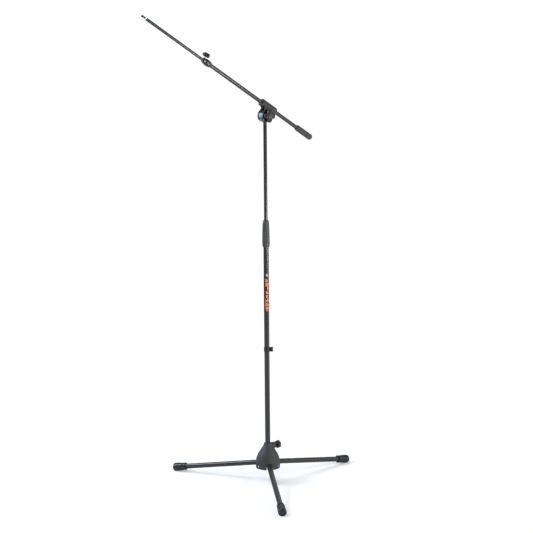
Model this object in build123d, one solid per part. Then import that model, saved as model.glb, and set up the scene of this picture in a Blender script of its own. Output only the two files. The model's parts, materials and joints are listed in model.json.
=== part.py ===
from build123d import *
from math import cos, radians, sin
import os

# Boom microphone stand. Millimetres, +Z up, origin on the mast axis at floor level.
# Leg 1 points along +X, legs 2 and 3 follow every 120 degrees, and the boom lies in
# the XZ plane with its threaded tip towards -X and up.

RUN = 0.05  # radial running clearance of every part that turns or slides in another
LEG_AZIMUTHS = (0, 120, 240)

# Mast
LOWER_R, LOWER_WALL = 11.0, 1.5
LOWER_BOTTOM, LOWER_TOP = 98.0, 1075.0
UPPER_R, UPPER_WALL = 7.5, 1.2
UPPER_BOTTOM = 830.0
PIVOT_Z = 1551.0
BOLT_R = 4.0
TUBE_SEAT = PIVOT_Z - BOLT_R - 3
LABEL_LOW, LABEL_HIGH = 738.0, 902.0
CLIP_AZIMUTH, CLIP_LOW, CLIP_HIGH = -37.0, 568.0, 586.0
CABLE_R, CABLE_CENTRE = 3.5, 20.5
CLUTCH_LOW, CLUTCH_HIGH, CLUTCH_R = 1017.0, 1092.0, 13.0
GRIP_LOW, GRIP_HIGH = 1011.0, 1122.0

# Base hub
HUB_R, HUB_WALL, HUB_RIM, HUB_TOP = 51.5, 4.0, 65.7, 172.0
NECK_R = 15.0
WEB_TOP, WEB_INNER, WEB_OUTER = 122.0, 9.0, 16.4
SOCKET_BOTTOM = 130.0
CLAMP_AXIS_Z = 156.0
BOSS_R, BOSS_END = 14.3, 34.0
RIM_GROOVE_Z = 82.0
RECESS_Z, RECESS_R, RECESS_HALF_WIDTH, RECESS_DEPTH = 75.5, 5.5, 4.0, 3.0
RIM_SCREW_R = 3.4

# Legs, each on a cross pin inside the hub
LEG_R, LEG_WALL = 11.0, 1.2
LEG_SLOPE = 9.52
PIN_RADIUS_FROM_MAST = 25.0
LEG_AXIS_AT_PIN = 85.3
PIN_R, PIN_HALF_LENGTH = 3.0, 36.0
SLOT_HALF_WIDTH = 11.4
LUG_HALF_WIDTH = 11.2
CAM_REACH, CAM_HALF_WIDTH, CAM_HALF_HEIGHT = 13.0, 7.0, 5.0
TUBE_START = 14.0
FOOT_R, FOOT_LENGTH, FOOT_EDGE, FOOT_FLAT = 17.5, 60.0, 13.0, 0.3

# Boom, whose axis passes BOOM_RISE above the tilt pivot
TILT = 31.45
BOOM_RISE = 38.2
OUTER_R, OUTER_WALL = 8.0, 1.2
INNER_R, INNER_WALL = 6.0, 1.0
TAIL_END, GRIP_START = -259.0, -167.0
GRIP_R, TAIL_PLUG = 12.5, 30.0
SEAM = GRIP_START - 56
OUTER_FRONT = 366.0
COLLAR_BACK, COLLAR_FRONT, COLLAR_R = 337.0, 369.0, 13.5
RING_FRONT, RING_R = 379.0, 11.6
LOCK_AXIS = (COLLAR_FRONT + RING_FRONT) / 2
STUD_R, LOCK_BOSS_R, LOCK_BOSS_TOP = 3.0, 4.9, 16.0
LOCK_KNOB_LOW, LOCK_KNOB_HIGH, LOCK_KNOB_R = 18.5, 31.0, 15.5
INNER_BACK, INNER_FRONT = 235.0, 685.0
RING_BACK = INNER_FRONT + 2
TIP_THREAD_R, TIP_THREAD_LENGTH = 4.7625, 17.5
TIP_NECK_R, TIP_RING_R, TIP_RING_LENGTH = 5.2, 11.0, 3.5

# Tilt head
KNUCKLE_R, KNUCKLE_HALF_WIDTH = 24.0, 10.0
CHEEK_INNER, CHEEK_OUTER = 11.0, 19.0
CLAMP_TAIL, CLAMP_TIP, CLAMP_R = -36.0, 46.0, 16.0
LINER_R = 9.55
TILT_WASHER_TOP = CHEEK_OUTER + 1.8
TILT_KNOB_R, TILT_KNOB_LOW, TILT_KNOB_HIGH, TILT_KNOB_TURN = 27.0, 25.0, 39.0, 27.4
TILT_CAP_R, TILT_CAP_TOP = 11.5, 42.0

# Knob of the base clamp
BASE_KNOB_R, BASE_KNOB_LOW, BASE_KNOB_HIGH = 17.0, 46.5, 62.0

os.makedirs("parts", exist_ok=True)


def rod(radius, low, high):
    """Solid round bar on the Z axis."""
    return Pos(0, 0, low) * Cylinder(radius, high - low, align=(Align.CENTER, Align.CENTER, Align.MIN))


def pipe(outer, inner, low, high):
    """Round tube on the Z axis."""
    return rod(outer, low, high) - rod(inner, low - 1, high + 1)


def turned(*outline):
    """Solid of revolution about Z from (radius, height) points, closed on itself."""
    face = make_face(Polyline(*[(r, 0, z) for r, z in outline], close=True))
    return revolve(face, Axis.Z)


def block(x, y, z):
    """Box from three (low, high) pairs."""
    size = [high - low for low, high in (x, y, z)]
    middle = [(high + low) / 2 for low, high in (x, y, z)]
    return Pos(*middle) * Box(*size)


def along_x(shape):
    return Rot(0, 90, 0) * shape


def along_y(shape):
    return Rot(-90, 0, 0) * shape


def on_boom(shape):
    """Boom frame: Z towards the threaded tip, X square to it and up, Y the tilt axis."""
    return Pos(0, 0, PIVOT_Z) * Rot(0, TILT - 90, 0) * Pos(BOOM_RISE, 0, 0) * shape


def on_leg(shape, azimuth):
    """Leg frame: origin on the hinge pin, X outwards along the tube, Y along the pin."""
    pin = Pos(PIN_RADIUS_FROM_MAST, 0, LEG_AXIS_AT_PIN)
    return Rot(0, 0, azimuth) * pin * Rot(0, LEG_SLOPE, 0) * shape


def lobed_knob(radius, lobes, bottom, top, bore):
    """Star knob on Z: a round body with scallops between its lobes and eased edges."""
    pitch = 360 / lobes
    scallop_r = radius * sin(radians(pitch / 2)) * 0.52
    body = Circle(radius)
    for i in range(lobes):
        body -= Rot(0, 0, pitch * (i + 0.5)) * Pos(radius * 1.08, 0) * Circle(scallop_r)
    star = extrude(body, top - bottom)
    star = chamfer(star.edges().filter_by(GeomType.LINE, reverse=True).group_by(Axis.Z)[-1], 1.5)
    star = chamfer(star.edges().group_by(Axis.Z)[0], 1.0)
    return Pos(0, 0, bottom) * star - rod(bore, bottom - 1, top - 3)


# ---------------------------------------------------------------- base and clamp


def at_base_clamp(shape):
    """Z of the shape goes out along the clamp screw, over leg 1."""
    return Pos(0, 0, CLAMP_AXIS_Z) * along_x(shape)


def hub_outline(wall):
    """Half section of the bell-shaped hub, drawn in by wall on every side."""
    r, rim, top, neck_r = HUB_R - wall, HUB_RIM, HUB_TOP - 2 * wall, NECK_R - wall
    shoulder = [(r, 0, 91), (r - 4.6, 0, 112), (r - 14.0, 0, 132)]
    neck = (neck_r + 2.5, 0, 163 - wall)
    outline = Polyline((0, 0, rim), (r, 0, rim), shoulder[0])
    outline += ThreePointArc(*shoulder)
    outline += Polyline(shoulder[2], neck, (neck_r, 0, top), (0, 0, top), (0, 0, rim))
    return revolve(make_face(outline), Axis.Z)


def leg_slot():
    """Space that one leg needs at rest and while it folds down, in the leg frame."""
    tunnel = along_x(rod(SLOT_HALF_WIDTH, 0, 70))
    below = block((-SLOT_HALF_WIDTH, 80), (-SLOT_HALF_WIDTH, SLOT_HALF_WIDTH), (-60, 0))
    swing = along_y(rod(18.4, -SLOT_HALF_WIDTH, SLOT_HALF_WIDTH))
    inner = block((-CAM_REACH - 12, 0), (-CAM_HALF_WIDTH - 1, CAM_HALF_WIDTH + 1), (-30, 15))
    return tunnel + below + swing + inner


def hinge_bore(radius, half_length):
    return along_y(rod(radius, -half_length, half_length))


def make_base_housing():
    """Thin bell with a mast socket, a clamp boss and a pair of webs beside each leg slot."""
    outer = hub_outline(0)
    cavity = hub_outline(HUB_WALL) + rod(HUB_R - HUB_WALL, HUB_RIM - 5, HUB_RIM + 5)
    hub = outer - cavity + rod(NECK_R - 0.5, SOCKET_BOTTOM, HUB_TOP - 1)
    webs = [
        Rot(0, 0, azimuth) * block((12, HUB_R), band, (HUB_RIM, WEB_TOP)) & outer
        for azimuth in LEG_AZIMUTHS
        for band in ((WEB_INNER, WEB_OUTER), (-WEB_OUTER, -WEB_INNER))
    ]
    for web in webs:
        hub += web
    hub += at_base_clamp(rod(BOSS_R, NECK_R - 3, BOSS_END))
    hub -= rod(LOWER_R + RUN, HUB_RIM - 1, HUB_TOP + 1)
    hub -= at_base_clamp(rod(BOLT_R + RUN, 0, BOSS_END + 1))
    hub -= pipe(HUB_R + 1, HUB_R - 0.7, RIM_GROOVE_Z, RIM_GROOVE_Z + 1.2)
    for azimuth in LEG_AZIMUTHS:
        hub += between_legs(rim_screw_boss(), azimuth)
        hub -= between_legs(rim_recess(), azimuth)
        hub -= on_leg(leg_slot(), azimuth)
        hub -= on_leg(hinge_bore(PIN_R, 60), azimuth)
    return hub


def between_legs(shape, azimuth):
    """Z of the shape goes outwards through the rim, half way to the next leg."""
    return Rot(0, 0, azimuth + 60) * Pos(0, 0, RECESS_Z) * along_x(shape)


def rim_screw_boss():
    return rod(RECESS_R + 1.5, HUB_R - 12, HUB_R - 1)


def rim_recess():
    """Oval pocket in the rim, with the seat and hole of one screw."""
    low, high = HUB_R - RECESS_DEPTH, HUB_R + 5
    ends = [rod(RECESS_R, low, high).moved(Pos(0, y, 0)) for y in (-RECESS_HALF_WIDTH, RECESS_HALF_WIDTH)]
    middle = block((-RECESS_R, RECESS_R), (-RECESS_HALF_WIDTH, RECESS_HALF_WIDTH), (low, high))
    return ends[0] + ends[1] + middle + rod(RIM_SCREW_R / 2, HUB_R - 14, high)


def make_rim_screws():
    """Three domed screws in the rim's pockets."""
    seat = HUB_R - RECESS_DEPTH
    head = rod(RIM_SCREW_R, seat, seat + 2)
    head = fillet(head.edges().group_by(Axis.Z)[-1], 1.2)
    screw = head + rod(RIM_SCREW_R / 2, seat - 9, seat)
    screw -= block((-0.4, 0.4), (-RIM_SCREW_R, RIM_SCREW_R), (seat + 1.2, seat + 3))
    return Compound(children=[between_legs(screw, azimuth) for azimuth in LEG_AZIMUTHS])


def make_leg_pins():
    pins = [on_leg(hinge_bore(PIN_R, PIN_HALF_LENGTH), azimuth) for azimuth in LEG_AZIMUTHS]
    return Compound(children=pins)


def make_base_clamp_pad():
    pad = at_base_clamp(rod(BOLT_R, LOWER_R, NECK_R))
    return pad - rod(LOWER_R + RUN, 100, 200)


def make_base_clamp_stud():
    return at_base_clamp(rod(BOLT_R, NECK_R + 0.1, BASE_KNOB_HIGH - 5))


def make_base_clamp_knob():
    knob = lobed_knob(BASE_KNOB_R, 6, BASE_KNOB_LOW, BASE_KNOB_HIGH, BOLT_R)
    hub = pipe(8, BOLT_R, BASE_KNOB_LOW - 6, BASE_KNOB_LOW)
    return at_base_clamp(knob + hub - rod(BOLT_R, BASE_KNOB_LOW - 10, BASE_KNOB_HIGH - 5))


# ---------------------------------------------------------------- legs


def foot_height():
    """Height of the foot's end centre, its lower edge worn flat where it touches the floor."""
    slope = radians(LEG_SLOPE)
    return (FOOT_R - FOOT_EDGE) * cos(slope) + FOOT_EDGE - FOOT_EDGE * sin(slope) - FOOT_FLAT


LEG_LENGTH = (LEG_AXIS_AT_PIN - foot_height()) / sin(radians(LEG_SLOPE))
FOOT_START = LEG_LENGTH - FOOT_LENGTH
TUBE_END = LEG_LENGTH - 26


def make_leg_tube(azimuth):
    return on_leg(along_x(pipe(LEG_R, LEG_R - LEG_WALL, TUBE_START, TUBE_END)), azimuth)


def make_hinge_lug(azimuth):
    eye = along_y(rod(LEG_R, -LUG_HALF_WIDTH, LUG_HALF_WIDTH))
    neck = along_x(rod(LEG_R, 0, TUBE_START))
    plug = along_x(rod(LEG_R - LEG_WALL, TUBE_START, TUBE_START + 30))
    cam = block((-CAM_REACH, 0), (-CAM_HALF_WIDTH, CAM_HALF_WIDTH), (-CAM_HALF_HEIGHT, CAM_HALF_HEIGHT))
    cam &= along_y(rod(CAM_REACH, -LEG_R, LEG_R))
    return on_leg(eye + neck + plug + cam - hinge_bore(PIN_R + RUN, LEG_R + 1), azimuth)


def make_foot(azimuth):
    """Rubber cap: collar lip, groove, slightly swelling body and rounded end."""
    start, end = FOOT_START, LEG_LENGTH
    outline = Polyline((0, 0, end), (0, 0, TUBE_END), (LEG_R, 0, TUBE_END), (LEG_R, 0, start))
    outline += Polyline((LEG_R, 0, start), (15.2, 0, start), (16.2, 0, start + 1))
    outline += Polyline((16.2, 0, start + 1), (16.2, 0, start + 6), (14.8, 0, start + 7.5))
    outline += Polyline((14.8, 0, start + 7.5), (14.8, 0, start + 9.5), (15.8, 0, start + 11))
    outline += Line((15.8, 0, start + 11), (FOOT_R, 0, end - 22))
    outline += Line((FOOT_R, 0, end - 22), (FOOT_R, 0, end - FOOT_EDGE))
    flat, lower, bulge = FOOT_R - FOOT_EDGE, end - FOOT_EDGE, FOOT_EDGE * cos(radians(45))
    outline += ThreePointArc((FOOT_R, 0, lower), (flat + bulge, 0, lower + bulge), (flat, 0, end))
    outline += Line((FOOT_R - FOOT_EDGE, 0, end), (0, 0, end))
    foot = on_leg(along_x(revolve(make_face(outline), Axis.Z)), azimuth)
    return foot - block((-500, 500), (-500, 500), (-10, 0))


# ---------------------------------------------------------------- mast


def make_lower_mast_tube():
    return pipe(LOWER_R, LOWER_R - LOWER_WALL, LOWER_BOTTOM, LOWER_TOP)


def make_mast_support_plate():
    """Plug with a flange, over the leg cams, that also stops the mast leaving the hub."""
    plug = rod(LOWER_R - LOWER_WALL, LOWER_BOTTOM, LOWER_BOTTOM + 27)
    return rod(15, LOWER_BOTTOM - 3, LOWER_BOTTOM) + plug


def make_tube_label():
    return pipe(LOWER_R + 0.15, LOWER_R, LABEL_LOW, LABEL_HIGH)


def make_cable_clip():
    """Plastic ring on the tube with a C-shaped cable holder on its side."""
    ring = pipe(LOWER_R + 1.6, LOWER_R + RUN, CLIP_LOW, CLIP_HIGH)
    holder = rod(CABLE_R + 2.5, CLIP_LOW, CLIP_HIGH).moved(Pos(CABLE_CENTRE, 0, 0))
    web = block((LOWER_R + 1, CABLE_CENTRE), (-4, 4), (CLIP_LOW, CLIP_HIGH))
    clip = ring + holder + web - rod(LOWER_R + RUN, CLIP_LOW - 1, CLIP_HIGH + 1)
    clip -= rod(CABLE_R, CLIP_LOW - 1, CLIP_HIGH + 1).moved(Pos(CABLE_CENTRE, 0, 0))
    mouth = block((CABLE_CENTRE, CABLE_CENTRE + 10), (-2.2, 2.2), (CLIP_LOW - 1, CLIP_HIGH + 1))
    return Rot(0, 0, CLIP_AZIMUTH) * (clip - mouth)


def make_clutch_body():
    """Externally threaded sleeve on the lower tube's top end."""
    upper = pipe(CLUTCH_R, LOWER_R - 0.4, LOWER_TOP, CLUTCH_HIGH)
    return pipe(CLUTCH_R, LOWER_R, CLUTCH_LOW, LOWER_TOP) + upper


def make_clutch_collet():
    bore, low, cone_low = UPPER_R + RUN, LOWER_TOP - 15, CLUTCH_HIGH + 1
    cone = turned(
        (bore, low), (9.4, low), (9.4, LOWER_TOP), (10.5, LOWER_TOP), (10.5, cone_low),
        (8.6, cone_low + 15), (bore, cone_low + 15),
    )
    slit = block((bore - 1, 12), (-0.6, 0.6), (cone_low - 9, cone_low + 17))
    slits = [Rot(0, 0, 60 * i) * slit for i in range(6)]
    for slit in slits:
        cone -= slit
    return cone


def make_height_clutch_grip():
    """Swelling hand sleeve that screws over the collet and closes it with its inner cone."""
    bore, thread, low, high = UPPER_R + 0.5, CLUTCH_R + RUN, GRIP_LOW, GRIP_HIGH
    return turned(
        (13.8, low), (15.0, low + 5), (15.6, low + 17), (15.6, low + 33), (14.7, low + 64),
        (14.2, high - 22), (13.4, high - 12), (12.2, high - 4), (11.0, high), (bore, high),
        (bore, high - 9), (10.9, high - 26), (thread, high - 26), (thread, low),
    )


def make_upper_guide_bush():
    flange = rod(LOWER_R - LOWER_WALL - RUN, UPPER_BOTTOM - 15, UPPER_BOTTOM)
    return flange + rod(UPPER_R - UPPER_WALL - RUN, UPPER_BOTTOM, UPPER_BOTTOM + 18)


def make_upper_mast_tube():
    return pipe(UPPER_R, UPPER_R - UPPER_WALL, UPPER_BOTTOM, TUBE_SEAT)


# ---------------------------------------------------------------- tilt head


def at_pivot(shape):
    """Z of the shape goes along the tilt axis, towards +Y."""
    return Pos(0, 0, PIVOT_Z) * along_y(shape)


def make_head_knuckle():
    """Round barrel across the mast's top end, seated on the tube."""
    barrel = at_pivot(rod(KNUCKLE_R, -KNUCKLE_HALF_WIDTH, KNUCKLE_HALF_WIDTH))
    neck = rod(KNUCKLE_HALF_WIDTH - 0.1, PIVOT_Z - 28, PIVOT_Z - 15)
    knuckle = barrel + neck - rod(UPPER_R, PIVOT_Z - 30, TUBE_SEAT)
    knuckle -= at_pivot(rod(BOLT_R + RUN, -20, 20))
    return knuckle - along_x(rod(2.5, 0, 30)).moved(Pos(0, 0, PIVOT_Z - 16))


def make_head_set_screw():
    screw = along_x(rod(2.5, UPPER_R, UPPER_R + 8) - rod(1.25, UPPER_R + 5, UPPER_R + 9))
    screw = screw.moved(Pos(0, 0, PIVOT_Z - 16))
    return screw - rod(UPPER_R, PIVOT_Z - 30, PIVOT_Z)


def make_friction_washers():
    thickness = CHEEK_INNER - KNUCKLE_HALF_WIDTH - 2 * RUN
    low = KNUCKLE_HALF_WIDTH + RUN
    near = pipe(17, BOLT_R, -low - thickness, -low)
    far = pipe(17, BOLT_R, low, low + thickness)
    return Compound(children=[at_pivot(near), at_pivot(far)])


def clamp_flank():
    """Side view of the cheeks: waisted on the tip side, sloping down from the tail."""
    disc_r, waist = KNUCKLE_R + 1, (-16, 0, 23)
    tip = Polyline((-BOOM_RISE, 0, disc_r), waist)
    tip += ThreePointArc(waist, (-11, 0, 30), (-5, 0, CLAMP_TIP - 2))
    tip += Polyline((-5, 0, CLAMP_TIP - 2), (4, 0, CLAMP_TIP - 2), (4, 0, CLAMP_TAIL + 8))
    tail = Polyline((4, 0, CLAMP_TAIL + 8), (-8, 0, CLAMP_TAIL + 2), (-13, 0, CLAMP_TAIL + 2))
    tail += Polyline((-13, 0, CLAMP_TAIL + 2), (-BOOM_RISE, 0, -disc_r), (-BOOM_RISE, 0, disc_r))
    return make_face(tip + tail)


def make_boom_clamp():
    """One casting: a saddle over the boom whose two cheeks run down to the pivot."""
    whole_length = (CLAMP_TAIL - 1, CLAMP_TIP + 1)
    saddle = rod(CLAMP_R, CLAMP_TAIL, CLAMP_TIP)
    saddle = fillet(saddle.edges().group_by(Axis.Z)[0], 5.5)
    saddle = fillet(saddle.edges().group_by(Axis.Z)[-1], 2)
    discs = Pos(-BOOM_RISE, 0, 0) * along_y(rod(KNUCKLE_R + 1, -CHEEK_OUTER, CHEEK_OUTER))
    clamp = saddle + discs + extrude(clamp_flank(), CHEEK_OUTER - 2.5, both=True)
    clamp -= rod(LINER_R + RUN, *whole_length)
    clamp -= block((-20, 0), (-7, 7), whole_length)
    clamp -= block((-90, -18), (-CHEEK_INNER, CHEEK_INNER), (-60, 60))
    slot = along_y(rod(KNUCKLE_R + 1.3, -CHEEK_INNER, CHEEK_INNER))
    bolt_hole = along_y(rod(BOLT_R, -30, 30))
    head_seat = along_y(Pos(0, 0, CHEEK_OUTER - 4) * extrude(RegularPolygon(6.7, 6), 10))
    return on_boom(clamp - Pos(-BOOM_RISE, 0, 0) * (slot + bolt_hole + head_seat))


def make_tilt_bolt():
    shank = rod(BOLT_R, 3 - TILT_KNOB_HIGH, CHEEK_OUTER - 4)
    head = Pos(0, 0, CHEEK_OUTER - 4) * extrude(RegularPolygon(6.6, 6), 5.5)
    return on_boom(Pos(-BOOM_RISE, 0, 0) * along_y(shank + head))


def on_tilt_axis(shape):
    """Z of the shape goes out of the near cheek, towards -Y."""
    return on_boom(Pos(-BOOM_RISE, 0, 0) * Rot(90, 0, 0) * shape)


def make_tilt_washer():
    return on_tilt_axis(pipe(11, BOLT_R, CHEEK_OUTER, TILT_WASHER_TOP))


def make_tilt_knob():
    """Four-lobed hand knob, set with two of its lobes level."""
    knob = lobed_knob(TILT_KNOB_R, 4, TILT_KNOB_LOW, TILT_KNOB_HIGH, BOLT_R + RUN)
    hub = rod(12, TILT_WASHER_TOP + RUN, TILT_KNOB_LOW + 1)
    bore = rod(BOLT_R + RUN, TILT_WASHER_TOP - 2, TILT_KNOB_HIGH - 2.5)
    cap_seat = rod(TILT_CAP_R, TILT_KNOB_HIGH - 2.5, TILT_KNOB_HIGH + 1)
    return on_tilt_axis(Rot(0, 0, TILT_KNOB_TURN) * (knob + hub - bore - cap_seat))


def make_tilt_knob_cap():
    cap = rod(TILT_CAP_R, TILT_KNOB_HIGH - 2.5, TILT_CAP_TOP)
    return on_tilt_axis(chamfer(cap.edges().group_by(Axis.Z)[-1], 1.5))


# ---------------------------------------------------------------- boom


def make_boom_liner():
    """Flanged plastic liner, slit lengthwise, that the boom slides through."""
    sleeve = pipe(LINER_R, OUTER_R + RUN, CLAMP_TAIL - 2, CLAMP_TIP + 2)
    tail = pipe(12, OUTER_R + RUN, CLAMP_TAIL - 2, CLAMP_TAIL - 0.1)
    tip = pipe(12, OUTER_R + RUN, CLAMP_TIP + 0.1, CLAMP_TIP + 2)
    slit = block((0, 15), (-0.8, 0.8), (CLAMP_TAIL - 3, CLAMP_TIP + 3))
    return on_boom(sleeve + tail + tip - slit)


def make_outer_boom_tube():
    return on_boom(pipe(OUTER_R, OUTER_R - OUTER_WALL, TAIL_END + TAIL_PLUG, OUTER_FRONT))


def make_inner_boom_tube():
    return on_boom(pipe(INNER_R, INNER_R - INNER_WALL, INNER_BACK, INNER_FRONT))


def make_inner_boom_bush():
    flange = rod(OUTER_R - OUTER_WALL - RUN, INNER_BACK - 10, INNER_BACK)
    return on_boom(flange + rod(INNER_R - INNER_WALL - RUN, INNER_BACK, INNER_BACK + 15))


def at_boom_lock(shape):
    """Z of the shape goes out along the boom's lock screw, square to the boom and up."""
    return on_boom(Pos(0, 0, LOCK_AXIS) * along_x(shape))


def make_boom_clutch_collar():
    """Swelling cast collar on the outer tube's front end."""
    body = turned(
        (0, COLLAR_BACK), (9.6, COLLAR_BACK), (11.6, COLLAR_BACK + 5), (COLLAR_R, COLLAR_BACK + 14),
        (COLLAR_R, COLLAR_FRONT - 6), (COLLAR_R - 1.5, COLLAR_FRONT), (0, COLLAR_FRONT),
    )
    collar = body - rod(OUTER_R, COLLAR_BACK - 1, OUTER_FRONT)
    return on_boom(collar - rod(INNER_R + RUN, OUTER_FRONT - 1, COLLAR_FRONT + 1))


def make_boom_clutch_pad():
    return at_boom_lock(rod(STUD_R, 0, 9)) - on_boom(rod(INNER_R + RUN, COLLAR_FRONT, RING_FRONT))


def make_boom_clutch_ring():
    """Plated ring in front of the collar, with the lock screw's boss."""
    ring = on_boom(rod(RING_R, COLLAR_FRONT, RING_FRONT)) + at_boom_lock(rod(LOCK_BOSS_R, 0, LOCK_BOSS_TOP))
    ring -= on_boom(rod(INNER_R + RUN, COLLAR_FRONT - 1, RING_FRONT + 1))
    return ring - at_boom_lock(rod(STUD_R + RUN, 0, LOCK_BOSS_TOP + 1))


def make_boom_clutch_stud():
    return at_boom_lock(rod(STUD_R, 9.1, LOCK_KNOB_HIGH - 4))


def make_boom_clutch_knob():
    knob = lobed_knob(LOCK_KNOB_R, 5, LOCK_KNOB_LOW, LOCK_KNOB_HIGH, STUD_R)
    hub = rod(6, LOCK_BOSS_TOP + 0.5, LOCK_KNOB_LOW)
    return at_boom_lock(knob + hub - rod(STUD_R, LOCK_BOSS_TOP, LOCK_KNOB_HIGH - 4))


def make_boom_tip_stud():
    """Steel plug in the inner tube that carries the 3/8 inch microphone thread."""
    plug = rod(INNER_R - INNER_WALL, INNER_FRONT - 18, INNER_FRONT)
    shoulder = rod(INNER_R, INNER_FRONT, RING_BACK)
    neck = rod(TIP_NECK_R, RING_BACK, RING_BACK + TIP_RING_LENGTH)
    thread = rod(TIP_THREAD_R, RING_BACK, RING_BACK + TIP_RING_LENGTH + TIP_THREAD_LENGTH)
    thread = chamfer(thread.edges().group_by(Axis.Z)[-1], 0.8)
    return on_boom(plug + shoulder + neck + thread)


def make_boom_tip_ring():
    return on_boom(pipe(TIP_RING_R, TIP_NECK_R, RING_BACK, RING_BACK + TIP_RING_LENGTH))


def make_boom_grip():
    """Rear grip: short tapered neck and a straight body as far as the seam."""
    start = GRIP_START
    outline = [(OUTER_R, start), (9.6, start), (10.2, start - 6), (GRIP_R, start - 13)]
    return on_boom(turned(*outline, (GRIP_R, SEAM), (OUTER_R, SEAM)))


def make_boom_grip_cap():
    """The grip's closed, rounded end, which the outer tube runs into."""
    end, tube_end = TAIL_END, TAIL_END + TAIL_PLUG
    start = [(OUTER_R, SEAM - 0.6), (GRIP_R - 0.5, SEAM - 0.6), (GRIP_R, SEAM - 2)]
    nose = [(GRIP_R, end + 6), (10.6, end + 1.6), (7.5, end), (0, end)]
    return on_boom(turned(*start, *nose, (0, tube_end), (OUTER_R, tube_end)))


PARTS = {
    "base_housing": make_base_housing(),
    "leg_hinge_pins": make_leg_pins(),
    "rim_screws": make_rim_screws(),
    "base_clamp_pad": make_base_clamp_pad(),
    "base_clamp_stud": make_base_clamp_stud(),
    "base_clamp_knob": make_base_clamp_knob(),
    "lower_mast_tube": make_lower_mast_tube(),
    "mast_support_plate": make_mast_support_plate(),
    "tube_label": make_tube_label(),
    "cable_clip": make_cable_clip(),
    "clutch_body": make_clutch_body(),
    "clutch_collet": make_clutch_collet(),
    "height_clutch_grip": make_height_clutch_grip(),
    "upper_guide_bush": make_upper_guide_bush(),
    "upper_mast_tube": make_upper_mast_tube(),
    "head_knuckle": make_head_knuckle(),
    "head_set_screw": make_head_set_screw(),
    "friction_washers": make_friction_washers(),
    "boom_clamp": make_boom_clamp(),
    "tilt_bolt": make_tilt_bolt(),
    "tilt_washer": make_tilt_washer(),
    "tilt_knob": make_tilt_knob(),
    "tilt_knob_cap": make_tilt_knob_cap(),
    "boom_liner": make_boom_liner(),
    "outer_boom_tube": make_outer_boom_tube(),
    "boom_clutch_collar": make_boom_clutch_collar(),
    "boom_clutch_pad": make_boom_clutch_pad(),
    "boom_clutch_ring": make_boom_clutch_ring(),
    "boom_clutch_stud": make_boom_clutch_stud(),
    "boom_clutch_knob": make_boom_clutch_knob(),
    "boom_grip": make_boom_grip(),
    "boom_grip_cap": make_boom_grip_cap(),
    "inner_boom_bush": make_inner_boom_bush(),
    "inner_boom_tube": make_inner_boom_tube(),
    "boom_tip_stud": make_boom_tip_stud(),
    "boom_tip_ring": make_boom_tip_ring(),
}
for number, azimuth in enumerate(LEG_AZIMUTHS, start=1):
    PARTS[f"leg_{number}_tube"] = make_leg_tube(azimuth)
    PARTS[f"leg_{number}_hinge_lug"] = make_hinge_lug(azimuth)
    PARTS[f"leg_{number}_foot"] = make_foot(azimuth)

for name, shape in PARTS.items():
    export_step(shape, f"parts/{name}.step")
print(f"{len(PARTS)} nodes, leg length {LEG_LENGTH:.1f} mm")
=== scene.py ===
"""Looks of a boom microphone stand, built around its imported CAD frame. Metres, +Z up."""

import json
import math

import bmesh
import bpy
from mathutils import Matrix, Vector


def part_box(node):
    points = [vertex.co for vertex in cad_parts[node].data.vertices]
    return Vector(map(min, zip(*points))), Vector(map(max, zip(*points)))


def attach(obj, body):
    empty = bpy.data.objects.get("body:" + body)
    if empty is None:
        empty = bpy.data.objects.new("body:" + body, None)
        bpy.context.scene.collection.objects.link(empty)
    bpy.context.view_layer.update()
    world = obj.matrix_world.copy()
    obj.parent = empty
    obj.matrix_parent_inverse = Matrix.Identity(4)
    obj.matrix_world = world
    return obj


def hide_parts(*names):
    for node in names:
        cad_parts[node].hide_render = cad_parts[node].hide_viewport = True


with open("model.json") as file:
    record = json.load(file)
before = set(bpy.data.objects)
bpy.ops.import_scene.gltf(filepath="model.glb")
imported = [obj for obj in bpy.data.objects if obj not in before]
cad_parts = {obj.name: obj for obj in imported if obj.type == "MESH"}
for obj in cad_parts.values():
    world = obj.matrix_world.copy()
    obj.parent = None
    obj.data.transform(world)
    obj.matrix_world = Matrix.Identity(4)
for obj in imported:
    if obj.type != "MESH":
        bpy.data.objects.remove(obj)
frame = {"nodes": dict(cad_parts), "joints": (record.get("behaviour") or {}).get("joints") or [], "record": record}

MM = 0.001
TAU = 2 * math.pi
TINY = 1e-9
NODES, RECORD = frame["nodes"], frame["record"]
JOINTS = {joint["name"]: joint for joint in frame["joints"]}
BODY_OF = {n: body for body, members in RECORD["behaviour"]["bodies"].items() for n in members}
SLOT_OF = {part["node"]: part["material_slot"] for part in RECORD["subparts"]}
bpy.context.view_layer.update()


# ---------------------------------------------------------------- places, from the frame


def place(origin, axis, towards):
    """Matrix whose Z runs along axis and whose X points as nearly as it can towards."""
    z = Vector(axis).normalized()
    x = (Vector(towards) - Vector(towards).dot(z) * z).normalized()
    y = z.cross(x)
    m = Matrix((x, y, z)).transposed().to_4x4()
    m.translation = Vector(origin)
    return m


def joint_place(name, towards):
    """Place at a joint, with Z along its axis."""
    return place(JOINTS[name]["pos_m"], JOINTS[name]["axis"], towards)


def span(node, at):
    """(lowest, highest, largest radius) of a node along and about the Z of a place."""
    local = [at.inverted() @ v.co for v in NODES[node].data.vertices]
    heights = [p.z for p in local]
    return min(heights), max(heights), max(math.hypot(p.x, p.y) for p in local)


UP = Vector((0, 0, 1))
MAST = place((0, 0, 0), UP, (1, 0, 0))
BOOM = joint_place("boom_roll", UP)
LOCK = joint_place("boom_lock_turn", BOOM.col[2].xyz)
TILT = joint_place("tilt_knob_turn", UP)
BASE_CLAMP = joint_place("base_knob_turn", UP)
LEGS = (1, 2, 3)

# Radii that several pieces share, and the longest step of a fluted outline.
BOLT_R = 4 * MM
BOOM_TUBE_R = 8.0 * MM
TIP_NECK_R = 5.2 * MM
LOCK_RING_R = 11.6 * MM
MAX_STEP = 3 * MM


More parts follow.
